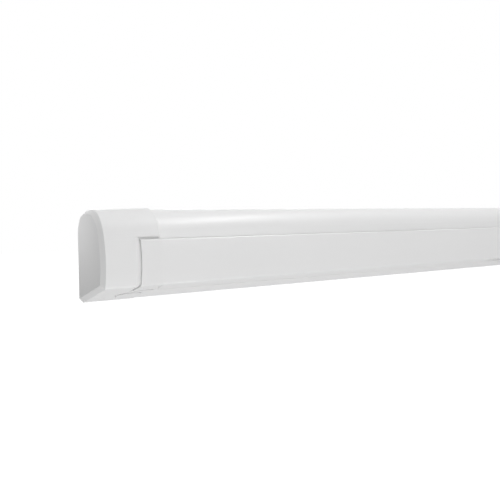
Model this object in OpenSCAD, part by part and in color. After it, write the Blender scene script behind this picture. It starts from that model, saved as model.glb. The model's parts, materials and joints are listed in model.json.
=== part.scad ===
// Cassette awning that hangs on a wall and rolls out on two folding spring arms.
// X runs along the awning, +Y points into the wall, +Z is up.
// Sections are drawn as [y, z], with z measured from the lowest edge at the wall.

/* [Cassette] */
// Overall length, end face to end face
length = 2600; // [2450:50:3000]
// Height of the end caps
height = 131; // [130:0.5:134]
// Depth from the wall to the fullest point of the front
depth = 98; // [97:0.5:101]
// Radius of the top towards the wall
rear_dome_r = 36; // [32:1:40]
// Radius of the top towards the front
front_dome_r = 45; // [43:0.5:46]
// Radius of the bulging front
bulge_r = 110; // [100:5:160]
// Height of the fullest point of the front
bulge_z = 60; // [56:1:64]
// Slope of the underside, rising from the wall to the front
underside_angle = 17.5; // [16:0.5:18]
// Rounding of the crease low on the front
crease_r = 5; // [3:0.5:6]
// Wall thickness of the housing and the lead rail
wall = 2; // [1.8:0.1:2.2]
// Gap between the wall and the back of the housing
back_gap = 10; // [9.5:0.5:11]
// Distance from the top of the caps down to the housing's front lip
lip_drop = 39.4; // [39:0.1:40]
// How far the housing's floor stays behind the caps' underside
floor_inset = 0.6; // [0.4:0.1:1]
// Distance from the wall to the front edge of the housing's floor
floor_out = 56; // [50:1:57]

/* [End caps] */
// How far a cap stands proud of the housing
cap_proud = 2.2; // [2.2:0.1:2.6]
// How much lower a cap's top is at its end face than at its inner edge
cap_draft = 2.2; // [1:0.1:2.4]
// Length of a cap behind its chamfer
cap_len = 76.5; // [75:0.5:80]
// Rise of the chamfered end face
cap_rise = 5.5; // [4:0.5:7]
// Width of the chamfer round the end face
cap_bevel = 6; // [5:0.5:8]
// Wall thickness of a cap
cap_wall = 1.9; // [1.7:0.1:1.9]
// Distance from the cap's edge to the notch for the lead rail
notch_start = 44.5; // [43:0.5:46]
// Gap over the lead rail in a cap's notch
notch_gap = 2.8; // [2:0.1:3.2]
// Width of the bevel beside the notch
notch_bevel = 5; // [3:0.5:6]
// Width of the bevel on a cap's inner edge
cap_edge = 1.5; // [1:0.1:1.6]
// Radius of the round disc in the underside
disc_r = 18; // [16:0.5:18.5]
// Distance from the cap's edge to the disc's centre
disc_start = 51.5; // [50:0.5:53]
// Distance from the wall to the disc's centre
disc_out = 37.5; // [36:0.5:39]

/* [Roller] */
// Radius of the roller tube
tube_r = 19; // [18:0.5:20]
// Radius of the wound fabric
roll_r = 25.5; // [24:0.5:26.5]
// Distance from the wall to the roller's axis
roller_out = 46; // [45:0.5:47]
// Radius of the roller's journals
journal_r = 6; // [5:0.5:7]
// Thickness of the fabric
fabric_t = 0.45; // [0.4:0.05:0.6]

/* [Winch] */
// Number of teeth on the worm wheel
wheel_teeth = 14; // [14:1:15]
// Size of a tooth: pitch diameter over number of teeth
tooth_module = 1.8; // [1.7:0.05:1.8]
// Pitch radius of the worm
worm_r = 7; // [6.8:0.1:7.4]
// Radius of the worm's shaft
worm_shaft_r = 4; // [3.5:0.1:4.2]
// Radius of the hole in the crank eye
eye_r = 6; // [5:0.5:7]

/* [Arms] */
// Length of each arm half, pivot to pivot
arm_length = 1000; // [850:10:1050]
// Downward pitch of the arms
arm_pitch = 8; // [7:0.5:9]
// Width of an arm tube
arm_w = 18; // [17:0.5:18.5]
// Height of an arm tube
arm_h = 32; // [31:0.5:33]
// Gap between the folded arm tubes
arm_gap = 8; // [7.5:0.5:8.5]
// Wall thickness of an arm tube
arm_wall = 1.8; // [1.6:0.1:2.2]
// Distance from the end face to the shoulder pivot
shoulder_inset = 115; // [110:1:125]
// Radius of the pivot pins
pin_r = 4.5; // [4:0.1:4.8]
// Height of the knuckles between their ears
knuckle_h = 16; // [14:0.5:17]

/* [Lead rail] */
// How far the lead rail stays behind the caps' surface
rail_inset = 0.6; // [0.4:0.1:1]
// Gap between the housing's lip and the lead rail
rail_top_gap = 0.4; // [0.4:0.1:1]
// Distance from the cap's edge to the lead rail's end
rail_start = 48; // [47:0.5:49]
// Width of the bevel along the lead rail's top edge
rail_bevel = 1.6; // [1:0.1:3]
// Length of a lead rail cap
rail_cap_len = 30; // [29:1:32]
// Radius of the keder groove
keder_r = 2.9; // [2.5:0.1:3]

/* [Legs] */
// Width of a leg
leg_w = 24.5; // [23.5:0.1:24.6]
// Height of a leg at its middle
leg_h = 32.7; // [31.5:0.1:33]
// Distance from the end face to a leg's pivot
leg_inset = 104.5; // [104:0.5:112]
// Length of a leg's outer tube from its pivot
leg_len = 725; // [600:5:730]
// Radius of the leg pivots
leg_pin_r = 4; // [3.5:0.1:4.5]
// Length of a cam lever
lever_len = 36; // [30:1:38]

/* [Wall brackets] */
// Height of the bolt pattern's centre above the lowest edge
bolt_z = 55; // [53:0.5:57]
// Distance between a bracket's two bolts
bolt_spacing = 30; // [24:1:34]
// Radius of a bolt hole
bolt_r = 4.2; // [3.2:0.1:4.5]
// Distance from the middle to an outer bracket
bracket_spacing = 900; // [600:10:950]
// Width of a bracket
bracket_w = 60; // [50:1:80]
// Thickness of a bracket
bracket_t = 3.5; // [3:0.1:4]

/* [Hidden] */
$fn = 96;

// Fits
run_fit = 0.05;     // shafts and pivot pins in their bores
seat_fit = 0.02;    // pins and bushes pressed home
slide_fit = 0.25;   // telescoping tubes and plugs
loose = 0.3;        // curved neighbours on different bodies
part_gap = 1;       // visible gap between neighbouring pieces
disc_fit = 0.25;    // round the disc in the underside
cap_overlap = 3;    // how far an end cap reaches over the housing
roll_room = 3;      // between the wound fabric and the housing's top
arm_room = 1.5;     // between the folded arms and what surrounds them
leg_room = 0.9;     // between a leg and its lane

// Colours
white = [0.93, 0.93, 0.93];
plastic = [0.88, 0.88, 0.88];
steel = [0.62, 0.63, 0.65];
dark = [0.25, 0.25, 0.26];
seal = [0.8, 0.8, 0.8];
cloth = [0.72, 0.74, 0.76];

// Places along the length, on the left half
edge_x = length / 2 - cap_rise;
cap_in_x = edge_x - cap_len;
housing_x = cap_in_x + cap_overlap;
rail_end_x = edge_x - rail_start;
rail_x = rail_end_x - rail_cap_len;
disc_x = edge_x - disc_start;
block_x = disc_x + worm_r + 9;
notch_in = -edge_x + notch_start;
shoulder_x = length / 2 - shoulder_inset;
leg_x = length / 2 - leg_inset;

// Front of the outline: the top radius runs smoothly into the bulge at the turn
dome_rise = height - front_dome_r - bulge_z;
dome_shift = sqrt((bulge_r - front_dome_r) ^ 2 - dome_rise ^ 2);
front_dome_out = depth - bulge_r + dome_shift;
function turn_z(t) = bulge_z + (bulge_r - t) * dome_rise / (bulge_r - front_dome_r);
function front_out(z, t) = depth - bulge_r + sqrt((bulge_r - t) ^ 2 - (z - bulge_z) ^ 2);
crease_z = front_out(depth * tan(underside_angle), 0) * tan(underside_angle);
turn_angle = 180 - atan2(dome_rise, dome_shift);
bulge_c = [bulge_r - depth, bulge_z];

// Rounded crease of an outline moved in by t, and by floor on the underside
slope_up = [sin(underside_angle), cos(underside_angle)];
function crease_radius(t) = max(crease_r - t, 0.5);
function crease_reach(t) = bulge_r - t - crease_radius(t);
function crease_turn(t, floor) =
    90 - underside_angle + acos((floor + crease_radius(t) - bulge_c * slope_up) / crease_reach(t));
function crease_centre(t, floor) =
    bulge_c + crease_reach(t) * [cos(crease_turn(t, floor)), sin(crease_turn(t, floor))];

// Points round the outline, moved in by t all round and by back at the wall, its top lowered by drop
function arc(c, r, from, to, steps) = [
    for (i = [0:steps - 1]) let (a = from + (to - from) * i / steps) c + r * [cos(a), sin(a)]
];
function ring(t, back, drop) = [
    for (p = concat(
        arc([-rear_dome_r + t - back, height - rear_dome_r], rear_dome_r - t, 0, 90, 20),
        [[-rear_dome_r + t - back, height - t]],
        arc([-front_dome_out, height - front_dome_r], front_dome_r - t, 90, turn_angle, 20),
        arc(bulge_c, bulge_r - t, turn_angle, crease_turn(t, t), 16),
        arc(crease_centre(t, t), crease_radius(t), crease_turn(t, t), 270 - underside_angle, 8),
        [crease_centre(t, t) - crease_radius(t) * slope_up],
        [[-back, (t + back * sin(underside_angle)) / cos(underside_angle)]]
    )) [p[0], p[1] - drop * max(0, p[1] - crease_z) / (height - crease_z)]
];

// Caps
function drop_at(x) = cap_draft * (x - cap_in_x - cap_edge) / (cap_len - cap_edge);
lip_z = height - lip_drop;
rail_top = lip_z - rail_top_gap;
notch_top = rail_top + notch_gap;
notch_depth = 1.5;
notch_room = 0.6;
groove_depth = 3.2;

// Roller and winch
roll_play = front_dome_r - cap_proud - wall - roll_room - roll_r;
roller_z = height - front_dome_r + sqrt(max(0, roll_play ^ 2 - (roller_out - front_dome_out) ^ 2));
roller_gap = 16;
roller_len = 2 * (housing_x - roller_gap);
tube_wall = 1.2;
tube_plug = 30;
plug_rim = 3;
bush_len = 20;
winch_bush_len = 5;
fabric_margin = 7;
fabric_w = roller_len - 2 * fabric_margin;
wheel_r = wheel_teeth * tooth_module / 2;
wheel_w = 8;
worm_turns = 4;
lead = PI * tooth_module;
centre_dist = wheel_r + worm_r;
disc_z = disc_out * tan(underside_angle);
exit_y = roller_out - disc_out;
exit_z = roller_z - disc_z;
worm_lean = asin(centre_dist / norm([exit_y, exit_z])) - atan(exit_y / exit_z);
worm_y = -roller_out + centre_dist * cos(worm_lean);
worm_z = roller_z - centre_dist * sin(worm_lean);
worm_drop = (worm_z - disc_z) / cos(worm_lean);
shaft_out = 4;

// Folding arms: their plane leans by arm_pitch about the shoulder pivot
arm_step = arm_w + arm_gap;
arm_far = arm_step + arm_w / 2;
shoulder_reach = 12.5;
shoulder_out = back_gap + wall + shoulder_reach;
arm_low_out = shoulder_out + arm_far * cos(arm_pitch) - arm_h / 2 * sin(arm_pitch);
floor_rise = (floor_inset + wall) / cos(underside_angle);
arm_drop = arm_far * sin(arm_pitch) + arm_h / 2 * cos(arm_pitch);
shoulder_z = arm_low_out * tan(underside_angle) + floor_rise + arm_drop + arm_room;
elbow_x = sqrt(arm_length ^ 2 - (arm_step / 2) ^ 2);
barrel_r = pin_r + 4;
ear_r = barrel_r + 1.3;
ear_gap = knuckle_h / 2 + loose;
ear_top = arm_h / 2;
ear_root = 20;
base_w = 54;
base_h = 42;
base_back = 34;
elbow_r = 13.5;
tube_from = 30;
elbow_back = 38;
plug_len = 26;
spring_r = 6.5;

// Lead rail
rail_rear = shoulder_out + arm_far * cos(arm_pitch) + arm_h / 2 * sin(arm_pitch) + arm_room;
notch_rear = rail_rear - 1;
rail_lip = floor_out + 1.5;
rail_cap_end = 3;
lane_rear = rail_rear + wall;
lane_front = front_out(crease_z, rail_inset + wall);
leg_rear = lane_rear + leg_room;
leg_front = leg_rear + leg_w;
leg_bottom = (leg_rear + leg_w / 2) * tan(underside_angle);
leg_top = leg_bottom + leg_h;
lane_roof = leg_top + leg_room;
roll_clear = roll_r + 3;
keder_boss = keder_r + 1.5;
keder_reach = roll_clear + keder_boss + 0.6;
keder_angle = 22.8;
keder_y = -roller_out - keder_reach * cos(keder_angle);
keder_z = roller_z - keder_reach * sin(keder_angle);
sheet_r = roll_r + loose + fabric_t / 2;
sheet_turn = 180 + keder_angle + acos(sheet_r / keder_reach);
sheet_y = -roller_out + sheet_r * cos(sheet_turn);
sheet_z = roller_z + sheet_r * sin(sheet_turn);
sheet_dir = atan2(sheet_z - keder_z, sheet_y - keder_y);
sheet_len = norm([sheet_y - keder_y, sheet_z - keder_z]);

plate_t = 2.5;
plate_w = 48;
plate_top = shoulder_z + 14;
plate_low = rail_rear * tan(underside_angle) + (rail_inset + wall) / cos(underside_angle) + loose;

// Legs
leg_y = -(leg_rear + leg_w / 2);
leg_wall = 1.6;
leg_end_r = 21.3;
leg_pivot_z = leg_top - leg_end_r;
mid_w = leg_w - 2 * leg_wall - 2 * slide_fit;
mid_h = mid_w + 1.7;
mid_z = leg_top - leg_wall - slide_fit - mid_h / 2;
mid_wall = 1.4;
in_w = mid_w - 2 * mid_wall - 2 * slide_fit;
in_h = mid_h - 2 * mid_wall - 2 * slide_fit;
in_wall = 1.3;
collar_len = 48;
foot_from = leg_len + part_gap + collar_len + part_gap;
foot_pivot = foot_from + 14;
foot_z = mid_z - 2.2;
foot_r = 11;
foot_len = 58;
cheek_gap = in_w + 2 * loose;
lever_w = 13;
lever_r = 2.4;
lever_pin_r = 1.6;
lever_z = leg_bottom + 3.2;
outer_lever_x = leg_len - lever_len - 4;
middle_lever_x = leg_len + part_gap + collar_len - lever_len - 4;

// End cap and housing details
disc_flange = 1.5;
disc_proud = 1.2;
hook_t = 2.1;
hook_out = 4.5;
shelf_z = height - rear_dome_r - 4.5;
hook_top = shelf_z + 12;
lock_z = 21.5;
lock_r = 2.4;
port_r = 4;
screw_r = 2;
corner_out = back_gap + wall + port_r - 0.5;
front_port_in = 2.3;
front_port_z = lip_z + 8.4;
ports = [
    [-corner_out, corner_out * tan(underside_angle) + floor_rise + port_r - 0.1],
    [-corner_out, shoulder_z + arm_h / 2 + 11],
    [-front_out(front_port_z, cap_proud + wall + front_port_in), front_port_z]
];
bush_r = journal_r + 3;

// Shifts sections, drawn from the lowest edge, to the origin at the wall bolts
module at_wall() translate([0, 0, -bolt_z]) children();

// Draws a left-hand piece on the left (-1) or mirrored on the right (1)
module on_side(side) mirror([side > 0 ? 1 : 0, 0, 0]) children();

// Extrudes a [y, z] section along X
module along_x(x0, x1) translate([x0, 0, 0]) rotate([90, 0, 90]) linear_extrude(x1 - x0) children();

// A cylinder along Y from y0 to y1
module along_y(x, z, y0, y1, r) translate([x, y1, z]) rotate([90, 0, 0]) cylinder(r = r, h = y1 - y0);

// Shifts a section to the roller's axis
module at_roller() translate([-roller_out, roller_z]) children();

// The arm plane's own frame, at the left shoulder pivot
module at_shoulder() translate([-shoulder_x, -shoulder_out, shoulder_z]) rotate([arm_pitch, 0, 0]) children();

// Outline of the cassette, moved in by t all round, by back at the wall and by floor on the underside
module outline(t, back, floor = -1) {
    f = floor < 0 ? t : floor;
    r = crease_radius(t);
    turn = crease_turn(t, f);
    difference() {
        intersection() {
            union() {
                translate([-rear_dome_r + t - back, height - rear_dome_r]) circle(r = rear_dome_r - t);
                translate([-front_dome_out, height - front_dome_r]) circle(r = front_dome_r - t);
                translate([-front_dome_out, height - front_dome_r])
                    square([front_dome_out - rear_dome_r + t - back, front_dome_r - t]);
                translate([-depth, 0]) square([depth - front_dome_out, turn_z(t)]);
                translate([-front_dome_out, 0]) square([front_dome_out - back, height - rear_dome_r]);
            }
            translate(bulge_c) circle(r = bulge_r - t, $fn = 360);
            rotate(-underside_angle) translate([-2 * depth, f]) square([4 * depth, 2 * height]);
            translate([-2 * depth, -height]) square([2 * depth - back, 3 * height]);
        }
        // Rounded crease
        translate(crease_centre(t, f)) difference() {
            polygon([[0, 0], 4 * r * [cos(turn), sin(turn)], [-6 * r, -6 * r], -4 * r * slope_up]);
            circle(r = r);
        }
    }
}

// Everything in front of a distance from the wall and below a height
module front_below(out, z) translate([-2 * depth, -height]) square([2 * depth - out, height + z]);

// Everything below a line t above the underside
module under(t) rotate(-underside_angle) translate([-2 * depth, -height]) square([4 * depth, height + t]);

module rounded(w, h, r) {
    square([w - 2 * r, h], center = true);
    square([w, h - 2 * r], center = true);
    for (sy = [-1, 1], sz = [-1, 1]) translate([sy * (w / 2 - r), sz * (h / 2 - r)]) circle(r = r);
}

// Fixed cassette

module housing_section() {
    difference() {
        union() {
            difference() {
                outline(cap_proud, back_gap, floor_inset);
                outline(cap_proud + wall, back_gap + wall, floor_inset + wall);
            }
            intersection() {
                outline(cap_proud, back_gap, floor_inset);
                union() {
                    for (p = ports) translate(p) circle(r = port_r);
                    translate([-corner_out, 0]) square([port_r, ports[0][1]]);
                }
            }
            // Heel that runs from the floor to the wall
            intersection() {
                outline(floor_inset, loose);
                under(floor_inset + wall);
                translate([-back_gap - wall, 0]) square([back_gap + wall, height]);
            }
            // Hook rail that hangs on the wall brackets
            translate([-back_gap - wall, hook_top - hook_t]) square([back_gap + wall - hook_out, hook_t]);
            translate([-hook_out - hook_t, shelf_z]) square([hook_t, hook_top - shelf_z]);
        }
        front_below(floor_out, lip_z);
        for (p = ports) translate(p) circle(r = screw_r + seat_fit);
    }
}

module housing() color(white) at_wall() difference() {
    along_x(-housing_x, housing_x) housing_section();
    for (b = [-1, 0, 1])
        along_y(b * bracket_spacing, lock_z, -back_gap - wall - 1, -back_gap + 1, lock_r + run_fit);
}

// The outline with its top lowered by drop
module lowered(t, back, drop) intersection() {
    outline(t, back);
    translate([0, -drop]) outline(t, back);
}

// Solid through rings of points, each at its own place along X
module loft(places, rings) {
    n = len(rings[0]);
    points = [for (k = [0:len(places) - 1], p = rings[k]) [places[k], p[0], p[1]]];
    sides = [
        for (k = [0:len(places) - 2], i = [0:n - 1])
            let (a = n * k + i, b = n * k + (i + 1) % n)
            each [[a, a + n, b + n], [a, b + n, b]]
    ];
    last = n * (len(places) - 1);
    ends = [[for (i = [0:n - 1]) i], [for (i = [0:n - 1]) last + n - 1 - i]];
    polyhedron(points, concat(sides, ends));
}

module end_cap(side) on_side(side) color(plastic) at_wall() difference() {
    loft(
        [-length / 2, -edge_x, -cap_in_x - cap_edge, -cap_in_x],
        [ring(cap_bevel, 0, cap_draft), ring(0, 0, cap_draft), ring(0, 0, 0), ring(cap_edge, 0, 0)]
    );
    difference() {
        loft(
            [-length / 2 + cap_wall, -edge_x + cap_wall, -cap_in_x + 1],
            [
                ring(cap_bevel + cap_wall, cap_wall, cap_draft),
                ring(cap_wall, cap_wall, cap_draft),
                ring(cap_wall, cap_wall, drop_at(cap_in_x - 1))
            ]
        );
        // Lining of the notch
        along_x(notch_in - cap_wall, -housing_x - loose)
            front_below(notch_rear - cap_wall, notch_top + cap_wall);
    }
    // Notch for the lead rail, with a shallow groove round it, and the bevel beside it
    along_x(-rail_end_x - notch_room, -cap_in_x + 1) front_below(notch_rear, rail_top + notch_room);
    along_x(notch_in, -cap_in_x + 1) difference() {
        front_below(notch_rear, notch_top);
        outline(groove_depth, 0);
    }
    difference() {
        along_x(notch_in - notch_bevel, notch_in + 1) front_below(notch_rear, notch_top);
        loft(
            [notch_in - notch_bevel - 0.5, notch_in + 1.5],
            [ring(-loose, 0, drop_at(notch_bevel - notch_in)), ring(notch_depth, 0, drop_at(-notch_in))]
        );
    }
    // Seat for the housing's floor
    along_x(-housing_x - loose, -cap_in_x + 1) under(floor_inset + wall + loose);
    // Hole for the round disc
    at_disc() cylinder(r = disc_r + disc_fit, h = 4 * cap_wall, center = true);
}

// The disc's own frame on the left underside, with z square to the slope and into the cap
module at_disc() translate([-disc_x, -disc_out, disc_z]) rotate([-underside_angle, 0, 0]) children();

module disc_body() {
    translate([0, 0, -disc_proud]) cylinder(r = disc_r, h = cap_wall + disc_proud + 0.01);
    translate([0, 0, cap_wall]) cylinder(r = disc_r + 1, h = disc_flange);
}

module cover_disc() color(plastic) at_wall() at_disc() disc_body();

module winch_bezel() color(plastic) on_side(1) at_wall() difference() {
    at_disc() disc_body();
    at_worm() cylinder(r = worm_shaft_r + 2, h = 4 * height, center = true);
}

// End blocks close the housing's ends and carry the roller
module block_section() difference() {
    lowered(cap_wall + loose, cap_wall + loose, drop_at(block_x));
    front_below(notch_rear - cap_wall - loose, notch_top + cap_wall + loose);
    // Room for the disc's flange
    rotate(-underside_angle) square([4 * depth, 2 * (cap_wall + disc_flange + loose)], center = true);
    for (p = ports) translate(p) circle(r = screw_r + seat_fit);
    at_roller() circle(r = bush_r + seat_fit);
}

module bearing_block() color(plastic) at_wall() along_x(-block_x, -housing_x) block_section();

module winch_case() color(plastic) on_side(1) at_wall() difference() {
    along_x(-block_x, -housing_x) block_section();
    // Wheel chamber, open towards the end cap
    along_x(-block_x - 1, -disc_x + wheel_w / 2 + 1.5) at_roller() circle(r = wheel_r + 4);
    // Worm chamber and the shaft's bearings
    at_worm() {
        cylinder(r = worm_r + 3, h = worm_turns * lead + 10, center = true);
        cylinder(r = worm_shaft_r + run_fit, h = 4 * height, center = true);
    }
}

module frame_screws() color(steel) at_wall() for (side = [-1, 1], p = ports) on_side(side) {
    along_x(-block_x, -housing_x + 14) translate(p) circle(r = screw_r);
    along_x(-block_x - 2, -block_x) translate(p) circle(r = screw_r + 1.6);
}

module bracket_section() {
    translate([-bracket_t, lock_z - 5.5]) square([bracket_t, shelf_z - lock_z + 5.5]);
    translate([-back_gap, lock_z - 5.5]) square([back_gap, 11]);
    translate([-back_gap + 0.6, shelf_z - 4]) square([back_gap - 0.6, 4]);
    translate([-back_gap + 0.6, shelf_z - 4]) square([hook_t, 11]);
}

module wall_brackets() color(white) at_wall() for (b = [-1, 0, 1]) translate([b * bracket_spacing, 0, 0])
    difference() {
        along_x(-bracket_w / 2, bracket_w / 2) bracket_section();
        for (s = [-1, 1]) along_y(0, bolt_z + s * bolt_spacing / 2, -bracket_t - 1, 1, bolt_r);
        along_y(0, lock_z, -back_gap - 1, 1, lock_r + seat_fit);
    }

module bracket_lock_screws() color(steel) at_wall() for (b = [-1, 0, 1]) {
    along_y(b * bracket_spacing, lock_z, -back_gap - wall, -1, lock_r);
    along_y(b * bracket_spacing, lock_z, -back_gap - wall - 2.2, -back_gap - wall, lock_r + 1.6);
}

// Two ears round a pivot in the arm plane, running from the pivot to a base at reach
module ears(reach) for (s = [-1, 1]) {
    translate([0, 0, s > 0 ? ear_gap : -ear_top]) {
        linear_extrude(ear_top - ear_gap) {
            circle(r = ear_r);
            translate([-ear_r, reach > 0 ? 0 : reach]) square([2 * ear_r, abs(reach)]);
        }
    }
}

module shoulder_bracket(side) on_side(side) color(steel) at_wall() difference() {
    union() {
        at_shoulder() ears(ear_root);
        translate([-shoulder_x - base_back, -back_gap - wall - plate_t, shoulder_z - base_h / 2])
            cube([base_w, plate_t, base_h]);
    }
    at_shoulder() cylinder(r = pin_r + seat_fit, h = 2 * arm_h, center = true);
    along_x(-length / 2, 0) translate([-back_gap - wall, 0]) square([back_gap + wall, height]);
}

module shoulder_pins() color(steel) at_wall() for (side = [-1, 1]) on_side(side)
    at_shoulder() cylinder(r = pin_r, h = 2 * ear_top + 2, center = true);

module lip_seal() color(seal) at_wall() along_x(-housing_x, housing_x) difference() {
    intersection() {
        outline(cap_proud + wall, back_gap + wall);
        translate([-front_out(lip_z + 2.5, cap_proud + wall), lip_z + 2.5]) circle(r = 3);
    }
    front_below(0, lip_z);
}

module roller_bushes() color(dark) at_wall() for (side = [-1, 1]) on_side(side)
    along_x(-housing_x - (side > 0 ? winch_bush_len : bush_len), -housing_x) at_roller() difference() {
        circle(r = bush_r);
        circle(r = journal_r + run_fit);
    }

// Roller

module roller_tube() color(steel) at_wall() along_x(-roller_len / 2, roller_len / 2)
    at_roller() difference() {
        circle(r = tube_r);
        circle(r = tube_r - tube_wall);
    }

module roller_plug(side) on_side(side) color(dark) at_wall() {
    along_x(-roller_len / 2, -roller_len / 2 + tube_plug) at_roller()
        circle(r = tube_r - tube_wall - run_fit);
    along_x(-roller_len / 2 - plug_rim, -roller_len / 2) at_roller() circle(r = tube_r);
    along_x(side > 0 ? -block_x : -housing_x - bush_len + 2, -roller_len / 2 - plug_rim) at_roller()
        circle(r = journal_r);
}

module fabric_roll() color(cloth) at_wall() along_x(-fabric_w / 2, fabric_w / 2) at_roller() difference() {
    circle(r = roll_r);
    circle(r = tube_r + 0.1);
}

module worm_wheel() color("goldenrod") on_side(1) at_wall()
    along_x(-disc_x - wheel_w / 2, -disc_x + wheel_w / 2) at_roller() difference() {
        union() {
            circle(r = wheel_r - 1.3 * tooth_module);
            for (i = [0:wheel_teeth - 1]) rotate(-worm_lean + i * 360 / wheel_teeth) polygon([
                [wheel_r - 1.6 * tooth_module, -0.85 * tooth_module],
                [wheel_r + 0.8 * tooth_module, -0.35 * tooth_module],
                [wheel_r + 0.8 * tooth_module, 0.35 * tooth_module],
                [wheel_r - 1.6 * tooth_module, 0.85 * tooth_module]
            ]);
        }
        circle(r = journal_r + seat_fit);
    }

// Winch

// The worm's own frame on the left side, z up along its shaft, y = 0 on its axis
module at_worm() translate([-disc_x, worm_y, worm_z]) rotate([-worm_lean, 0, 0]) children();

// Helical thread: a trapezoid swept round the shaft
module worm_thread() {
    steps = 20;
    rings = worm_turns * steps;
    hand = -1;
    section = [
        [worm_shaft_r, -0.95 * tooth_module],
        [worm_r + 0.8 * tooth_module, -0.4 * tooth_module],
        [worm_r + 0.8 * tooth_module, 0.4 * tooth_module],
        [worm_shaft_r, 0.95 * tooth_module]
    ];
    points = [
        for (i = [0:rings], p = section)
            let (turn = i / steps - worm_turns / 2, a = hand * 360 * turn + 90)
            [p[0] * cos(a), p[0] * sin(a), p[1] + lead * turn]
    ];
    sides = [
        for (i = [0:rings - 1], k = [0:3])
            let (a = 4 * i + k, b = 4 * i + (k + 1) % 4)
            each [[a, a + 4, b], [b, a + 4, b + 4]]
    ];
    last = 4 * rings;
    ends = [[0, 1, 2], [0, 2, 3], [last, last + 2, last + 1], [last, last + 3, last + 2]];
    polyhedron(points, concat(sides, ends));
}

module worm_shaft() color(steel) on_side(1) at_wall() at_worm() {
    translate([0, 0, -worm_drop - shaft_out])
        cylinder(r = worm_shaft_r, h = worm_drop + shaft_out + worm_turns * lead / 2 + 12);
    cylinder(r = worm_r - 1.1 * tooth_module, h = worm_turns * lead + 6, center = true);
    worm_thread();
}

module crank_eye() color(steel) on_side(1) at_wall() at_worm() translate([0, 0, -worm_drop - shaft_out])
    difference() {
        union() {
            translate([0, 0, -8]) cylinder(r = worm_shaft_r + 1, h = 8);
            translate([-3, 0, -8 - eye_r - 1]) rotate([0, 90, 0]) cylinder(r = eye_r + 4.5, h = 6);
        }
        translate([-10, 0, -8 - eye_r - 1]) rotate([0, 90, 0]) cylinder(r = eye_r, h = 20);
    }

// Canopy

module fabric_sheet() color(cloth) at_wall() along_x(-fabric_w / 2, fabric_w / 2)
    translate([keder_y, keder_z]) rotate(sheet_dir) translate([keder_boss + 0.8, -fabric_t / 2])
        square([sheet_len - keder_boss - 0.8, fabric_t]);

// Arms, drawn in the arm plane: x along the folded arm, -y outwards, z along the pivots

module arm_tube(y) translate([0, y, 0]) along_x(tube_from, elbow_x - elbow_back) difference() {
    rounded(arm_w, arm_h, 5);
    rounded(arm_w - 2 * arm_wall, arm_h - 2 * arm_wall, 5 - arm_wall);
}

// The part of a casting that closes a tube's end and plugs into it
module plug(x, y, dir) translate([x, y, 0]) {
    along_x(dir > 0 ? -3 : 0, dir > 0 ? 0 : 3) rounded(arm_w, arm_h, 5);
    along_x(dir > 0 ? 0 : -plug_len, dir > 0 ? plug_len : 0)
        rounded(arm_w - 2 * arm_wall - 2 * run_fit, arm_h - 2 * arm_wall - 2 * run_fit, 5 - arm_wall);
}

// A barrel on a pivot at the start of an arm, with its neck and plug
module knuckle(y) difference() {
    union() {
        translate([0, y, -knuckle_h / 2]) cylinder(r = barrel_r, h = knuckle_h);
        translate([0, y - barrel_r + 1.5, -knuckle_h / 2]) cube([tube_from - 2, 2 * barrel_r - 3, knuckle_h]);
        plug(tube_from, y, 1);
    }
    translate([0, y, 0]) cylinder(r = pin_r + run_fit, h = 2 * arm_h, center = true);
}

// Flat lug from an arm's end to the elbow pivot
module elbow_lug(y, h) linear_extrude(h) {
    translate([elbow_x, -arm_step / 2]) circle(r = elbow_r);
    s = y < 0 ? -1 : 1;
    polygon([
        [elbow_x - elbow_back + 2, y + s * arm_w / 2],
        [elbow_x - elbow_back + 2, y - s * arm_w / 2],
        [elbow_x - 9, -arm_step / 2 - s * 10],
        [elbow_x + 6, -arm_step / 2 + s * 12]
    ]);
}

module elbow_bore(r) translate([elbow_x, -arm_step / 2, 0]) cylinder(r = r, h = 2 * arm_h, center = true);

module upper_arm(side) on_side(side) color(white) at_wall() at_shoulder() arm_tube(0);

module shoulder_knuckle(side) on_side(side) color(steel) at_wall() at_shoulder() knuckle(0);

module elbow_fork(side) on_side(side) color(steel) at_wall() at_shoulder() difference() {
    union() {
        plug(elbow_x - elbow_back, 0, -1);
        translate([0, 0, ear_gap]) elbow_lug(0, ear_top - ear_gap);
        translate([0, 0, -ear_top]) elbow_lug(0, ear_top - ear_gap);
    }
    elbow_bore(pin_r + seat_fit);
}

module arm_spring(side) on_side(side) color(steel) at_wall() at_shoulder()
    along_x(tube_from + plug_len, elbow_x - elbow_back - plug_len) difference() {
        circle(r = spring_r);
        circle(r = spring_r - 2);
    }

module elbow_pin(side) on_side(side) color(steel) at_wall() at_shoulder()
    translate([elbow_x, -arm_step / 2, 0]) cylinder(r = pin_r, h = 2 * ear_top + 2, center = true);

module forearm(side) on_side(side) color(white) at_wall() at_shoulder() arm_tube(-arm_step);

module elbow_tongue(side) on_side(side) color(steel) at_wall() at_shoulder() difference() {
    union() {
        plug(elbow_x - elbow_back, -arm_step, -1);
        translate([0, 0, -knuckle_h / 2]) elbow_lug(-arm_step, knuckle_h);
    }
    elbow_bore(pin_r + run_fit);
}

module front_knuckle(side) on_side(side) color(steel) at_wall() at_shoulder() knuckle(-arm_step);

// Lead rail

module rail_body() difference() {
    intersection() {
        outline(rail_inset, 0);
        front_below(rail_rear, rail_top);
    }
    at_roller() circle(r = roll_clear);
    polygon([
        [-front_out(rail_top - rail_bevel, rail_inset), rail_top - rail_bevel],
        [rail_bevel - front_out(rail_top, rail_inset), rail_top],
        [rail_bevel - front_out(rail_top, rail_inset), height],
        [-2 * depth, height],
        [-2 * depth, rail_top - rail_bevel]
    ]);
}

module rail_inside(z0, z1) intersection() {
    outline(rail_inset + wall, 0);
    front_below(lane_rear, z1);
    translate([-2 * depth, z0]) square([2 * depth, 2 * height]);
}

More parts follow.
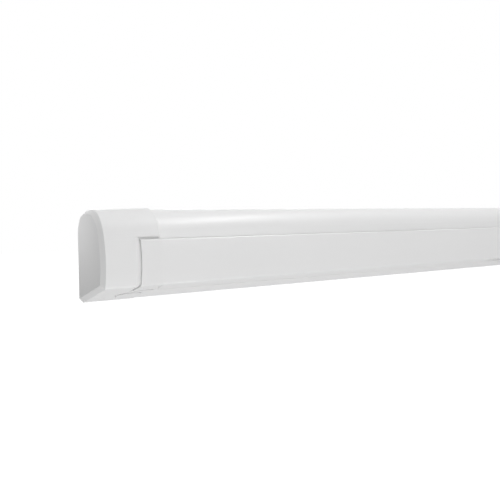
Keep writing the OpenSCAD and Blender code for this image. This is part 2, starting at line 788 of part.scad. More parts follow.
module rail_section() difference() {
    union() {
        difference() {
            rail_body();
            // Lane for the legs, open below
            rail_inside(-height, lane_roof);
            translate([-lane_front, -height]) square([lane_front - lane_rear, height + lane_roof]);
            // Upper chamber
            difference() {
                rail_inside(lane_roof + wall, rail_top - wall);
                at_roller() circle(r = roll_clear + wall);
            }
        }
        translate([keder_y, keder_z]) circle(r = keder_boss);
        // Lip that closes the underside behind the lane
        intersection() {
            difference() {
                outline(rail_inset, 0);
                outline(rail_inset + wall, 0);
                front_below(rail_rear + 1, height);
            }
            front_below(rail_lip, height / 3);
        }
    }
    translate([keder_y, keder_z]) circle(r = keder_r);
    translate([keder_y, keder_z]) rotate(sheet_dir) translate([0, -fabric_t / 2 - loose])
        square([sheet_len, fabric_t + 2 * loose]);
}

module lead_rail() color(white) at_wall() difference() {
    along_x(-rail_x, rail_x) rail_section();
    for (s = [-1, 1]) along_y(s * leg_x, leg_pivot_z, -lane_rear - 1, -rail_rear + 1, leg_pin_r + seat_fit);
}

module lead_rail_cap(side) on_side(side) color(plastic) at_wall() {
    difference() {
        along_x(-rail_end_x, -rail_x) rail_body();
        along_x(-rail_end_x + rail_cap_end, -rail_x + 1) difference() {
            intersection() {
                outline(rail_inset + wall, 0);
                front_below(lane_rear, rail_top - wall);
            }
            at_roller() circle(r = roll_clear + wall);
        }
    }
    // Tongue that closes the lane up to the leg's round end
    difference() {
        along_x(-rail_x - 0.01, -leg_x) intersection() {
            outline(rail_inset, 0);
            under(rail_inset + wall);
            translate([-lane_front + loose, 0]) square([lane_front - lane_rear - loose, height]);
        }
        along_y(-leg_x, leg_pivot_z, -depth, 0, leg_end_r + leg_room);
    }
}

module front_bracket(side) on_side(side) color(steel) at_wall() difference() {
    union() {
        at_shoulder() translate([0, -arm_step, 0]) ears(-ear_root);
        translate([-shoulder_x - plate_w / 2, -rail_rear, plate_low])
            cube([plate_w, plate_t, plate_top - plate_low]);
    }
    at_shoulder() translate([0, -arm_step, 0]) cylinder(r = pin_r + seat_fit, h = 2 * arm_h, center = true);
    along_x(-length / 2, 0) front_below(rail_rear, height);
    along_x(-length / 2, 0) under(rail_inset + wall + loose);
}

module front_pins() color(steel) at_wall() for (side = [-1, 1]) on_side(side) at_shoulder()
    translate([0, -arm_step, 0]) cylinder(r = pin_r, h = 2 * ear_top + 2, center = true);

module leg_hinge_pins() color(steel) at_wall() for (side = [-1, 1]) on_side(side)
    along_y(-leg_x, leg_pivot_z, -lane_front + loose, -rail_rear, leg_pin_r);

module front_keder() color(cloth) at_wall() along_x(-fabric_w / 2, fabric_w / 2)
    translate([keder_y, keder_z]) {
        circle(r = keder_r - loose);
        rotate(sheet_dir) translate([0, -fabric_t / 2]) square([keder_boss + 0.5, fabric_t]);
    }

// Legs, drawn from the left leg's pivot

module leg_section() intersection() {
    outline(rail_inset, 0);
    translate([-leg_front, -height]) square([leg_w, height + leg_top]);
}

module leg_run(x0, x1) along_x(-leg_x + x0, -leg_x + x1) children();

module leg_bore(x0, x1, w, h) leg_run(x0, x1) translate([leg_y, mid_z]) square([w, h], center = true);

// A pocket under a tube's end for its cam lever, with the lever's pivot hole
module lever_pocket(x) {
    leg_run(x - 4, x + lever_len + 4) translate([leg_y, lever_z + lever_r + 0.5 - height / 2])
        square([lever_w + 1, height], center = true);
    along_y(-leg_x + x, lever_z, leg_y - lever_w / 2 - 3, leg_y + lever_w / 2 + 3, lever_pin_r + run_fit);
}

module leg_outer(side) on_side(side) color(white) at_wall() difference() {
    intersection() {
        leg_run(-leg_end_r, leg_len) leg_section();
        union() {
            along_y(-leg_x, leg_pivot_z, -depth, 0, leg_end_r);
            translate([-leg_x, -depth, -height]) cube([leg_len, depth, 2 * height]);
        }
    }
    leg_bore(leg_end_r, leg_len + 1, mid_w + 2 * slide_fit, mid_h + 2 * slide_fit);
    along_y(-leg_x, leg_pivot_z, -depth, 0, leg_pin_r + run_fit);
    lever_pocket(outer_lever_x);
}

module leg_middle(side) on_side(side) color(white) at_wall() difference() {
    union() {
        leg_bore(leg_end_r + 20, leg_len + part_gap + collar_len, mid_w, mid_h);
        leg_run(leg_len + part_gap, leg_len + part_gap + collar_len) leg_section();
    }
    leg_bore(leg_end_r + 19, foot_from, in_w + 2 * slide_fit, in_h + 2 * slide_fit);
    lever_pocket(middle_lever_x);
}

module leg_inner(side) on_side(side) color(white) at_wall() difference() {
    union() {
        leg_bore(leg_end_r + 40, foot_from, in_w, in_h);
        intersection() {
            leg_bore(foot_from - 0.01, foot_pivot + foot_r, in_w, in_h);
            union() {
                along_y(-leg_x + foot_pivot, foot_z, -depth, 0, foot_r);
                translate([-leg_x, -depth, 0]) cube([foot_pivot, depth, height]);
            }
        }
    }
    leg_bore(leg_end_r + 39, foot_from - 12, in_w - 2 * in_wall, in_h - 2 * in_wall);
    along_y(-leg_x + foot_pivot, foot_z, -depth, 0, leg_pin_r + run_fit);
}

module leg_foot(side) on_side(side) color(dark) at_wall() {
    difference() {
        union() {
            along_y(-leg_x + foot_pivot, foot_z, -leg_front, -leg_rear, foot_r + 1);
            translate([-leg_x + foot_pivot, -leg_front, foot_z - foot_r - 1])
                cube([foot_len, leg_w, 2 * foot_r + 2]);
            // Sole
            translate([-leg_x + foot_pivot + foot_len - 6, -leg_front, foot_z - foot_r - 2])
                cube([6, leg_w, 2 * foot_r + 4]);
        }
        // Room for the inner tube's rounded tip
        translate([-leg_x, leg_y - cheek_gap / 2, 0]) cube([foot_pivot + foot_r + 1.5, cheek_gap, height]);
        // Lightening slot
        translate([-leg_x + foot_pivot + foot_r + 6, -depth, foot_z - 4])
            cube([foot_len - foot_r - 16, depth, 8]);
    }
    along_y(-leg_x + foot_pivot, foot_z, -leg_front + 1, -leg_rear - 1, leg_pin_r);
}

module cam_lever(side, x) on_side(side) color(plastic) at_wall() {
    along_y(-leg_x + x, lever_z, leg_y - lever_w / 2, leg_y + lever_w / 2, lever_r);
    translate([-leg_x + x, leg_y - lever_w / 2, lever_z - lever_r]) cube([lever_len, lever_w, 1.6 * lever_r]);
    along_y(-leg_x + x, lever_z, leg_y - lever_w / 2 - 2.5, leg_y + lever_w / 2 + 2.5, lever_pin_r);
}

housing();
end_cap(-1);  // end_cap_left
end_cap(1);  // end_cap_right
bearing_block();
winch_case();
frame_screws();
cover_disc();
winch_bezel();
wall_brackets();
bracket_lock_screws();
shoulder_bracket(-1);  // shoulder_bracket_left
shoulder_bracket(1);  // shoulder_bracket_right
shoulder_pins();
lip_seal();
roller_bushes();
roller_tube();
roller_plug(-1);  // roller_plug_left
roller_plug(1);  // roller_plug_right
fabric_roll();
worm_wheel();
worm_shaft();
crank_eye();
fabric_sheet();
upper_arm(-1);  // upper_arm_left
shoulder_knuckle(-1);  // shoulder_knuckle_left
elbow_fork(-1);  // elbow_fork_left
arm_spring(-1);  // arm_spring_left
elbow_pin(-1);  // elbow_pin_left
upper_arm(1);  // upper_arm_right
shoulder_knuckle(1);  // shoulder_knuckle_right
elbow_fork(1);  // elbow_fork_right
arm_spring(1);  // arm_spring_right
elbow_pin(1);  // elbow_pin_right
forearm(-1);  // forearm_left
elbow_tongue(-1);  // elbow_tongue_left
front_knuckle(-1);  // front_knuckle_left
forearm(1);  // forearm_right
elbow_tongue(1);  // elbow_tongue_right
front_knuckle(1);  // front_knuckle_right
lead_rail();
lead_rail_cap(-1);  // lead_rail_cap_left
lead_rail_cap(1);  // lead_rail_cap_right
front_bracket(-1);  // front_bracket_left
front_bracket(1);  // front_bracket_right
front_pins();
leg_hinge_pins();
front_keder();
leg_outer(-1);  // leg_outer_left
leg_middle(-1);  // leg_middle_left
leg_inner(-1);  // leg_inner_left
leg_foot(-1);  // leg_foot_left
cam_lever(-1, outer_lever_x);  // outer_lever_left
cam_lever(-1, middle_lever_x);  // middle_lever_left
leg_outer(1);  // leg_outer_right
leg_middle(1);  // leg_middle_right
leg_inner(1);  // leg_inner_right
leg_foot(1);  // leg_foot_right
cam_lever(1, outer_lever_x);  // outer_lever_right
cam_lever(1, middle_lever_x);  // middle_lever_right
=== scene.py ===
"""Roll out awning: looks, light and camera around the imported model, in metres."""
import json
import math

import bmesh
import bpy
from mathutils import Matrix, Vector


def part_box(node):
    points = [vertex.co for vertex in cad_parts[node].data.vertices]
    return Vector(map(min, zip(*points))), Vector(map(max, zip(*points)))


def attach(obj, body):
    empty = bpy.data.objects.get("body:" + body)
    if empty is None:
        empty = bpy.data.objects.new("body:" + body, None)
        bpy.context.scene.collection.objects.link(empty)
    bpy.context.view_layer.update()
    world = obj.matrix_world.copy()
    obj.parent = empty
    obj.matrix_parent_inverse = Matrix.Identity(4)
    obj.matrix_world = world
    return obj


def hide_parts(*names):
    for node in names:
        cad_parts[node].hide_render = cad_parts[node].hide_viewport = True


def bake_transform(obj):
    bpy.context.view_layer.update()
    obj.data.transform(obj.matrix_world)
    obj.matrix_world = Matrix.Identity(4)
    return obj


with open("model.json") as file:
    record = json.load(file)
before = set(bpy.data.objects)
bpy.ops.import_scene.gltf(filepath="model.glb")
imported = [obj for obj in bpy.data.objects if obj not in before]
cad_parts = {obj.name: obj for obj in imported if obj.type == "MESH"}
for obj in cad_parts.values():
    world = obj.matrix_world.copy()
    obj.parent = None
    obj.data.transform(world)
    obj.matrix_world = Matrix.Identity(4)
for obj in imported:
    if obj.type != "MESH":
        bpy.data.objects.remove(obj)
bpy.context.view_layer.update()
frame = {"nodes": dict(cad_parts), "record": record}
NODES = frame["nodes"]

# Camera: its place is measured from the lowest corner of the left end cap's face at the wall
IMAGE_SIZE = 500
FOCAL_PIXELS = 588.7
SENSOR_MM = 36.0
CLIP_START = 0.01
CLIP_END = 100.0
CORNER_INSET = 0.0055
CAMERA_FROM_CORNER = Vector((-0.2404, -0.8069, 0.1353))
CAMERA_YAW = math.radians(32.541)
CAMERA_PITCH = math.radians(4.378)

# Studio
WHITE = (1.0, 1.0, 1.0, 1.0)
WORLD_LIGHT = 0.38
FLOOR_DROP = 2.35
FLOOR_SIZE = 60.0
FLOOR_TONE = (0.55, 0.55, 0.55, 1.0)
FLOOR_GLOW = 0.92
FLOOR_IN_GLOSS = 0.55

# Lamps: name, place, target, size, spread in degrees, power in watts
LAMPS = (
    ("top_softbox", (0.2, -0.55, 2.56), (-1.15, -0.05, 0.0), (2.4, 0.4), 60.0, 4.1),
    ("rear_softbox", (-0.9, 1.3, 2.3), (-1.1, -0.05, 0.0), (2.5, 1.0), 180.0, 5.0),
    ("front_softbox", (-0.4, -1.4, 0.8), (-0.4, -0.05, 0.02), (1.1, 0.5), 180.0, 5.6),
    ("left_softbox", (-1.9, -1.2, 0.0), (-1.29, -0.09, 0.0), (0.5, 0.5), 180.0, 3.0),
    ("low_softbox", (-1.0, -0.85, -1.75), (-1.0, -0.05, 0.0), (1.6, 0.8), 180.0, 19.5),
    ("end_softbox", (-1.75, 0.25, 0.14), (-1.3, 0.01, 0.07), (0.08, 0.08), 27.0, 0.0205),
    ("far_softbox", (0.9, -1.2, 1.5), (0.6, -0.05, 0.0), (1.0, 0.6), 60.0, 0.5),
    ("right_softbox", (2.8, 0.3, 0.3), (1.3, -0.05, 0.0), (0.8, 0.8), 180.0, 4.0),
    ("back_softbox", (0.0, 2.6, 0.2), (0.0, 0.0, 0.0), (2.2, 1.2), 180.0, 16.0),
)

# Surfaces
BUMP_DEPTH = 0.0002
BEVEL_SAMPLES = 6
NOISE_LOW, NOISE_HIGH = 0.3, 0.7
# The mix node's sockets for colours, which share their names with those for numbers
MIX_FIRST, MIX_SECOND, MIX_RESULT = 6, 7, 2
# The wave node's period at a scale of 1
WAVE_PERIOD = math.pi / 10.0

# Cloth
CLOTH_THICKNESS = 0.00045
CLOTH_COLUMNS = 60
CANOPY_ROWS = 48
ROLL_CORE_RADIUS = 0.0191
ROLL_TURNS = 15
ROLL_STEPS = 40
WINDING_SHARE = 0.85
WELT_RADIUS = 0.0026
WELT_SIDES = 20
HEM_ROWS = 2

# Lip seal
SEAL_RADIUS = 0.003
SEAL_RISE = 0.0025
SEAL_TOE = 0.00188
SEAL_STEPS = 16
SEAL_GAP = 0.00003
TOE_GAP = 0.00008

# Notch strips
STRIP_WIDTH = 0.0005
STRIP_INSET = 0.0027
STRIP_DEPTH = 0.001
STRIP_GAP = 0.00006
END_FACE_DEPTH = 0.0003
FRONT_MARGIN = 0.02


def add_object(name, data):
    """A new object in the scene around its data."""
    new = bpy.data.objects.new(name, data)
    bpy.context.scene.collection.objects.link(new)
    return new


def aim(item, place, direction):
    """Puts a camera or a lamp at a place, looking in a direction."""
    item.location = place
    item.rotation_mode = "QUATERNION"
    item.rotation_quaternion = direction.to_track_quat("-Z", "Y")


def make_camera():
    """The photo's camera, in front of the left end cap."""
    low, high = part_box("end_cap_left")
    corner = Vector((low[0] + CORNER_INSET, high[1], low[2]))
    data = bpy.data.cameras.new("camera")
    data.sensor_width = SENSOR_MM
    data.lens = FOCAL_PIXELS / IMAGE_SIZE * SENSOR_MM
    data.clip_start = CLIP_START
    data.clip_end = CLIP_END
    camera = add_object("camera", data)
    forward = Vector((
        math.sin(CAMERA_YAW) * math.cos(CAMERA_PITCH),
        math.cos(CAMERA_YAW) * math.cos(CAMERA_PITCH),
        -math.sin(CAMERA_PITCH),
    ))
    aim(camera, corner + CAMERA_FROM_CORNER, forward)
    bpy.context.scene.camera = camera


# Shader helpers

def add_node(tree, kind, inputs=None, **settings):
    """A shader node with its settings and its inputs, each a value or another node's output."""
    node = tree.nodes.new(kind)
    for name, value in settings.items():
        setattr(node, name, value)
    for name, value in (inputs or {}).items():
        if isinstance(value, bpy.types.NodeSocket):
            tree.links.new(value, node.inputs[name])
        else:
            node.inputs[name].default_value = value
    return node


def add_math(tree, operation, first, second):
    """The result of a math node with two inputs, each a value or another node's output."""
    return add_node(tree, "ShaderNodeMath", {0: first, 1: second}, operation=operation).outputs[0]


def start_material(name):
    """A new material with its node tree, its main shader and its object coordinates."""
    material = bpy.data.materials.new(name)
    material.use_nodes = True
    tree = material.node_tree
    coordinates = add_node(tree, "ShaderNodeTexCoord").outputs["Object"]
    return material, tree, tree.nodes["Principled BSDF"], coordinates


def noise(tree, coordinates, scale, detail=2.0, stretch=(1.0, 1.0, 1.0)):
    """Noise with about scale features to a metre, drawn out along an axis of small stretch."""
    mapped = add_node(tree, "ShaderNodeMapping", {"Vector": coordinates, "Scale": stretch})
    pattern = add_node(
        tree, "ShaderNodeTexNoise", {"Vector": mapped.outputs[0], "Scale": scale, "Detail": detail}
    )
    return pattern.outputs[0]


def tint(tree, shader, pattern, colour, darker, lighter):
    """Gives the shader a colour that a pattern shifts by the shares darker and lighter."""
    mix = add_node(tree, "ShaderNodeMix", {"Factor": pattern}, data_type="RGBA")
    for socket, share in ((MIX_FIRST, -darker), (MIX_SECOND, lighter)):
        shifted = [min(1.0, channel * (1.0 + share)) for channel in colour]
        mix.inputs[socket].default_value = (*shifted, 1.0)
    tree.links.new(mix.outputs[MIX_RESULT], shader.inputs["Base Color"])


def roughen(tree, shader, pattern, low, high):
    """Gives the shader a roughness that a pattern spreads over the range from low to high."""
    limits = {"From Min": NOISE_LOW, "From Max": NOISE_HIGH, "To Min": low, "To Max": high}
    ramp = add_node(tree, "ShaderNodeMapRange", {"Value": pattern, **limits})
    tree.links.new(ramp.outputs[0], shader.inputs["Roughness"])


def add_bumps(tree, shader, bumps, edge_radius):
    """Bumps, each a pattern with its strength, over edges rounded by edge_radius."""
    edges = add_node(tree, "ShaderNodeBevel", {"Radius": edge_radius}, samples=BEVEL_SAMPLES)
    normal = edges.outputs[0]
    for pattern, strength in bumps:
        bump = add_node(
            tree,
            "ShaderNodeBump",
            {"Height": pattern, "Strength": strength, "Distance": BUMP_DEPTH, "Normal": normal},
        )
        normal = bump.outputs[0]
    tree.links.new(normal, shader.inputs["Normal"])


# Materials

def painted_extrusion(name, colour, roughness):
    """Stove-enamelled aluminium profile: orange peel over faint lines along its length."""
    material, tree, shader, place = start_material(name)
    clouds = noise(tree, place, scale=7.0, detail=3.0)
    peel = noise(tree, place, scale=620.0)
    lines = noise(tree, place, scale=260.0, stretch=(0.004, 1.0, 1.0))
    tint(tree, shader, clouds, colour, darker=0.012, lighter=0.012)
    roughen(tree, shader, clouds, low=roughness - 0.04, high=roughness + 0.04)
    add_bumps(tree, shader, [(lines, 0.02), (peel, 0.05)], edge_radius=0.0006)
    return material


def moulded_plastic(name, colour, roughness):
    """Injection-moulded plastic with a fine eroded grain."""
    material, tree, shader, place = start_material(name)
    clouds = noise(tree, place, scale=11.0, detail=3.0)
    grain = noise(tree, place, scale=1700.0, detail=3.0)
    tint(tree, shader, clouds, colour, darker=0.015, lighter=0.015)
    roughen(tree, shader, clouds, low=roughness - 0.04, high=roughness + 0.04)
    add_bumps(tree, shader, [(grain, 0.12)], edge_radius=0.0008)
    return material


def bare_metal(name, colour, roughness, lines, stretch=(1.0, 1.0, 1.0)):
    """Metal with a drawn surface, or a cast one where nothing is stretched."""
    material, tree, shader, place = start_material(name)
    brush = noise(tree, place, scale=lines, detail=4.0, stretch=stretch)
    clouds = noise(tree, place, scale=40.0, detail=3.0)
    tint(tree, shader, clouds, colour, darker=0.08, lighter=0.06)
    roughen(tree, shader, brush, low=roughness - 0.08, high=roughness + 0.1)
    shader.inputs["Metallic"].default_value = 1.0
    add_bumps(tree, shader, [(brush, 0.15)], edge_radius=0.0004)
    return material


def soft_rubber(name, colour):
    """Matt rubber with a fine grain."""
    material, tree, shader, place = start_material(name)
    clouds = noise(tree, place, scale=60.0, detail=4.0)
    grain = noise(tree, place, scale=2400.0)
    tint(tree, shader, clouds, colour, darker=0.15, lighter=0.2)
    roughen(tree, shader, clouds, low=0.55, high=0.75)
    add_bumps(tree, shader, [(grain, 0.2)], edge_radius=0.0005)
    return material


def woven_canvas(name, colour, thread):
    """Coated canvas: a plain weave of threads, with slubs that run along the cloth."""
    material, tree, shader, place = start_material(name)
    across, along = (
        add_node(
            tree,
            "ShaderNodeTexWave",
            {"Vector": place, "Scale": WAVE_PERIOD / thread, "Distortion": 0.4, "Detail": 1.0},
            wave_type="BANDS",
            bands_direction=axis,
        ).outputs["Fac"]
        for axis in ("X", "Y")
    )
    weave = add_math(tree, "MAXIMUM", across, along)
    slubs = noise(tree, place, scale=90.0, detail=3.0, stretch=(1.0, 0.01, 0.01))
    tint(tree, shader, slubs, colour, darker=0.1, lighter=0.08)
    roughen(tree, shader, slubs, low=0.7, high=0.85)
    shader.inputs["Sheen Weight"].default_value = 0.15
    add_bumps(tree, shader, [(weave, 0.3)], edge_radius=0.0002)
    return material


SLOT_MATERIALS = {
    "white_extrusion": painted_extrusion("white_paint", (0.87, 0.87, 0.87), roughness=0.36),
    "white_plastic": moulded_plastic("white_plastic", (0.86, 0.86, 0.86), roughness=0.46),
    "dark_plastic": moulded_plastic("dark_plastic", (0.035, 0.035, 0.037), roughness=0.5),
    "steel": bare_metal(
        "zinc_steel", (0.58, 0.59, 0.61), roughness=0.34, lines=500.0, stretch=(0.05, 1.0, 1.0)
    ),
    "brass": bare_metal(
        "brass", (0.62, 0.45, 0.2), roughness=0.32, lines=700.0, stretch=(0.1, 1.0, 1.0)
    ),
    "cast_aluminium": bare_metal(
        "cast_aluminium", (0.66, 0.67, 0.69), roughness=0.42, lines=900.0
    ),
    "seal_rubber": soft_rubber("seal_rubber", (0.84, 0.84, 0.84)),
    "canvas": woven_canvas("canvas", (0.46, 0.48, 0.5), thread=0.0009),
}


def dress_nodes():
    """Gives each CAD node the material of its slot."""
    for part in frame["record"]["subparts"]:
        mesh = NODES[part["node"]].data
        mesh.materials.clear()
        mesh.materials.append(SLOT_MATERIALS[part["material_slot"]])


# Meshes: each is a list of points and a list of faces

def sheet_mesh(corner, across, along, rows):
    """A thin closed sheet of cloth from corner, spanned by across and along."""
    lift = across.cross(along).normalized() * CLOTH_THICKNESS / 2
    points = []
    for side in (1, -1):
        for row in range(rows + 1):
            for column in range(CLOTH_COLUMNS + 1):
                place = corner + across * column / CLOTH_COLUMNS + along * row / rows
                points.append(place + lift * side)
    line = CLOTH_COLUMNS + 1
    layer = line * (rows + 1)
    faces = []
    for row in range(rows):
        for column in range(CLOTH_COLUMNS):
            a = row * line + column
            faces.append((a, a + 1, a + line + 1, a + line))
            faces.append((layer + a, layer + a + line, layer + a + line + 1, layer + a + 1))
    rim = list(range(CLOTH_COLUMNS))
    rim += [row * line + CLOTH_COLUMNS for row in range(rows)]
    rim += [rows * line + column for column in range(CLOTH_COLUMNS, 0, -1)]
    rim += [row * line for row in range(rows, 0, -1)]
    for a, b in zip(rim, rim[1:] + rim[:1]):
        faces.append((b, a, layer + a, layer + b))
    return points, faces


def prism_mesh(profile, start_x, end_x):
    """A bar with a profile of y and z, from start_x to end_x."""
    count = len(profile)
    points = [Vector((x, y, z)) for x in (start_x, end_x) for y, z in profile]
    faces = [tuple(range(count)), tuple(range(2 * count - 1, count - 1, -1))]
    for corner in range(count):
        following = (corner + 1) % count
        faces.append((following, corner, count + corner, count + following))
    return points, faces


def inset_mesh(outline, near_x, far_x):
    """A strip from near_x to far_x that runs inside an outline of y and z, but for its ends."""
    points, faces = [], []
    for before, corner, after in zip(outline, outline[1:], outline[2:]):
        run = Vector((after[0] - before[0], after[1] - before[1])).normalized()
        inward = Vector((-run[1], run[0]))
        for inset in (STRIP_INSET, STRIP_INSET + STRIP_DEPTH):
            y, z = Vector(corner) + inward * inset
            points += [Vector((near_x, y, z)), Vector((far_x, y, z))]
    ring = 4
    last = len(points) - ring
    for a in range(0, last, ring):
        b = a + ring
        for first, second in ((0, 1), (1, 3), (3, 2), (2, 0)):
            faces.append((a + first, a + second, b + second, b + first))
    faces += [(0, 2, 3, 1), (last, last + 1, last + 3, last + 2)]
    return points, faces


def join_meshes(first, second):
    points, faces = first
    more_points, more_faces = second
    shifted = [tuple(len(points) + corner for corner in face) for face in more_faces]
    return points + more_points, faces + shifted


def make_piece(name, mesh_parts, slot, smooth):
    """A new piece in its slot's material, with its faces turned outwards."""
    points, faces = mesh_parts
    mesh = bpy.data.meshes.new(name)
    mesh.from_pydata(points, [], faces)
    mesh.validate()
    shell = bmesh.new()
    shell.from_mesh(mesh)
    bmesh.ops.recalc_face_normals(shell, faces=shell.faces)
    shell.to_mesh(mesh)
    shell.free()
    mesh.materials.append(SLOT_MATERIALS[slot])
    for polygon in mesh.polygons:
        polygon.use_smooth = smooth
    piece = add_object(name, mesh)
    return piece


# Cloth

def make_canopy():
    """The cloth between the roll and the lead rail."""
    low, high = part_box("fabric_sheet")
    roll_end = Vector((low[0], high[1], low[2]))
    rail_end = Vector((low[0], low[1], high[2]))
    across = Vector((high[0] - low[0], 0, 0))
    along = rail_end - roll_end
    mesh_parts = sheet_mesh(roll_end, across, along, CANOPY_ROWS)
    canopy = make_piece("canopy_cloth", mesh_parts, "canvas", smooth=True)
    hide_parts("fabric_sheet")
    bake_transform(canopy)


def make_winding():
    """The wound cloth: one strip laid in a spiral round the roller tube."""
    low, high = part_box("fabric_roll")
    axis_y = (low[1] + high[1]) / 2
    axis_z = (low[2] + high[2]) / 2
    outer = (high[1] - low[1]) / 2
    pitch = (outer - ROLL_CORE_RADIUS) / ROLL_TURNS
    # The strip's own thickness takes up the outermost turn
    count = (ROLL_TURNS - 1) * ROLL_STEPS + 1
    points = []
    for x in (low[0], high[0]):
        for thickness in (0, pitch * WINDING_SHARE):
            for step in range(count):
                turn = step / ROLL_STEPS
                radius = ROLL_CORE_RADIUS + pitch * turn + thickness
                y = axis_y + radius * math.cos(math.tau * turn)
                z = axis_z + radius * math.sin(math.tau * turn)
                points.append(Vector((x, y, z)))
    left_in, left_out, right_in, right_out = range(0, len(points), count)
    faces = []
    for a in range(count - 1):
        b = a + 1
        faces.append((left_out + a, right_out + a, right_out + b, left_out + b))
        faces.append((left_in + a, left_in + b, right_in + b, right_in + a))
        faces.append((left_in + a, left_out + a, left_out + b, left_in + b))
        faces.append((right_in + a, right_in + b, right_out + b, right_out + a))
    last = count - 1
    faces.append((left_in, right_in, right_out, left_out))
    faces.append((left_in + last, left_out + last, right_out + last, right_in + last))
    winding = make_piece("cloth_winding", (points, faces), "canvas", smooth=True)
    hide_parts("fabric_roll")
    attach(winding, "roller")


def make_welt():
    """The welt cord in the lead rail's slot, with the hem of the cloth that it is sewn into."""
    low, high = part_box("front_keder")
    centre_y = low[1] + WELT_RADIUS
    centre_z = high[2] - WELT_RADIUS
    profile = []
    for side in range(WELT_SIDES):
        angle = math.tau * side / WELT_SIDES
        profile.append((
            centre_y + WELT_RADIUS * math.cos(angle),
            centre_z + WELT_RADIUS * math.sin(angle),
        ))
    cord = prism_mesh(profile, low[0], high[0])
    hem_start = Vector((low[0], centre_y, centre_z))
    hem_end = Vector((low[0], high[1], low[2]))
    across = Vector((high[0] - low[0], 0, 0))
    hem = sheet_mesh(hem_start, across, hem_end - hem_start, HEM_ROWS)
    welt = make_piece("front_welt", join_meshes(cord, hem), "canvas", smooth=True)
    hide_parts("front_keder")
    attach(welt, "lead_rail")


# Seals

def make_lip_seal():
    """The bulb seal inside the housing's lip, whose soft toe closes the gap over the lead rail."""
    low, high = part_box("lip_seal")
    rail_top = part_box("lead_rail")[1][2]
    centre_y = high[1] - SEAL_RADIUS
    centre_z = low[2] + SEAL_RISE
    top = math.asin((high[2] - centre_z) / SEAL_RADIUS)
    bottom = -math.asin(SEAL_RISE / SEAL_RADIUS)
    toe_y = low[1] - SEAL_TOE
    toe_low = rail_top + TOE_GAP
    toe_high = low[2] - SEAL_GAP
    profile = [(toe_y, toe_low), (toe_y, toe_high), (low[1] + SEAL_GAP, toe_high)]
    for step in range(SEAL_STEPS + 1):
        angle = top + (bottom - top) * step / SEAL_STEPS
        profile.append((
            centre_y + SEAL_RADIUS * math.cos(angle) + SEAL_GAP,
            centre_z + SEAL_RADIUS * math.sin(angle),
        ))
    profile.append((centre_y, toe_low))
    mesh_parts = prism_mesh(profile, low[0], high[0])
    seal = make_piece("lip_seal_bulb", mesh_parts, "seal_rubber", smooth=False)
    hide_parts("lip_seal")
    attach(seal, "cassette")


def end_outline(node):
    """A lead rail cap's outer end, and the front of its outline there as y and z, from the top."""
    low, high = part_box(node)
    end_x = low[0] if low[0] < 0 else high[0]
    centre_y, centre_z = high[1], (low[2] + high[2]) / 2
    corners = {
        (round(vertex.co.y, 6), round(vertex.co.z, 6))
        for vertex in NODES[node].data.vertices
        if abs(vertex.co.x - end_x) < END_FACE_DEPTH
    }
    front = [corner for corner in corners if corner[0] < centre_y - FRONT_MARGIN]
    front.sort(key=lambda corner: -math.atan2(corner[1] - centre_z, centre_y - corner[0]))
    return end_x, front


def make_notch_strip(side, node):
    """A thin strip that closes the slot between an end cap's notch and the lead rail's cap."""
    end_x, front = end_outline(node)
    housing_low, housing_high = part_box("housing")
    if end_x < 0:
        way, housing_end = -1, housing_low[0]
    else:
        way, housing_end = 1, housing_high[0]
    # The run beside the rail cap, from just below its top
    near_x = end_x + way * STRIP_GAP
    far_x = near_x + way * STRIP_WIDTH
    beside = inset_mesh(front[1:], near_x, far_x)
    # The run over the rail cap, up to the housing
    over_x = housing_end + way * SEAL_GAP
    over_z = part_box(node)[1][2] + STRIP_GAP
    over_y = front[0][0] + STRIP_INSET / 2
    profile = [
        (over_y, over_z),
        (over_y + STRIP_DEPTH, over_z),
        (over_y + STRIP_DEPTH, over_z + STRIP_WIDTH),
        (over_y, over_z + STRIP_WIDTH),
    ]
    over = prism_mesh(profile, min(over_x, far_x), max(over_x, far_x))
    mesh_parts = join_meshes(beside, over)
    strip = make_piece(f"notch_strip_{side}", mesh_parts, "seal_rubber", smooth=False)
    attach(strip, "cassette")


# Studio

def seen_directly(tree, in_gloss):
    """1 for what the camera sees, also through glass, and in_gloss for what a reflection shows."""
    path = add_node(tree, "ShaderNodeLightPath").outputs
    glossy = add_math(tree, "MULTIPLY", path["Is Glossy Ray"], in_gloss)
    seen = add_math(tree, "MAXIMUM", path["Is Camera Ray"], glossy)
    return add_math(tree, "MAXIMUM", seen, path["Is Transmission Ray"])


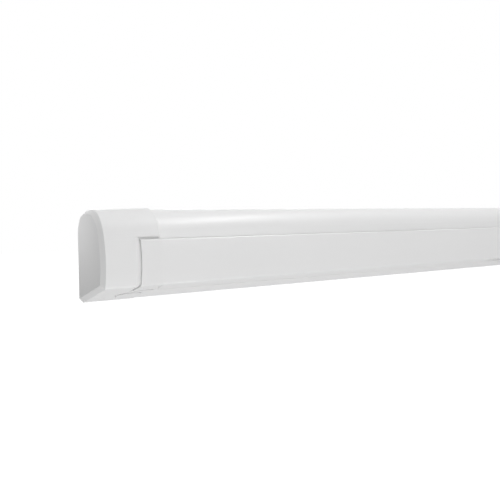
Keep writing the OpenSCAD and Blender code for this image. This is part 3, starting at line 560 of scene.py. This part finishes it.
def make_world():
    """A white backdrop whose light on the object is a plain even grey."""
    world = bpy.data.worlds.new("studio")
    bpy.context.scene.world = world
    world.use_nodes = True
    tree = world.node_tree
    background = tree.nodes["Background"]
    background.inputs["Color"].default_value = WHITE
    strength = add_node(
        tree,
        "ShaderNodeMapRange",
        {"Value": seen_directly(tree, 1.0), "To Min": WORLD_LIGHT, "To Max": 1.0},
    )
    tree.links.new(strength.outputs[0], background.inputs["Strength"])


def make_floor():
    """A pale floor that shows white to the camera and still takes a shadow."""
    material = bpy.data.materials.new("studio_floor")
    material.use_nodes = True
    tree = material.node_tree
    tree.nodes.clear()
    diffuse = add_node(tree, "ShaderNodeBsdfDiffuse", {"Color": FLOOR_TONE})
    strength = add_math(tree, "MULTIPLY", seen_directly(tree, FLOOR_IN_GLOSS), FLOOR_GLOW)
    glow = add_node(tree, "ShaderNodeEmission", {"Strength": strength})
    both = add_node(tree, "ShaderNodeAddShader", {0: diffuse.outputs[0], 1: glow.outputs[0]})
    add_node(tree, "ShaderNodeOutputMaterial", {"Surface": both.outputs[0]})
    half = FLOOR_SIZE / 2
    corners = ((-half, -half), (half, -half), (half, half), (-half, half))
    mesh = bpy.data.meshes.new("floor")
    mesh.from_pydata([(x, y, -FLOOR_DROP) for x, y in corners], [], [(0, 1, 2, 3)])
    mesh.materials.append(material)
    add_object("floor", mesh)


def add_softbox(name, place, target, size, spread_angle, power):
    """A soft lamp that lights the object and stays out of the picture itself."""
    data = bpy.data.lights.new(name, "AREA")
    data.shape = "RECTANGLE"
    data.size, data.size_y = size
    data.energy = power
    data.spread = math.radians(spread_angle)
    lamp = add_object(name, data)
    aim(lamp, place, Vector(target) - Vector(place))
    lamp.visible_camera = False


make_camera()
dress_nodes()
make_canopy()
make_winding()
make_welt()
make_lip_seal()
make_notch_strip("left", "lead_rail_cap_left")
make_notch_strip("right", "lead_rail_cap_right")
make_world()
make_floor()
for softbox in LAMPS:
    add_softbox(*softbox)
bpy.context.scene.view_settings.view_transform = "Standard"
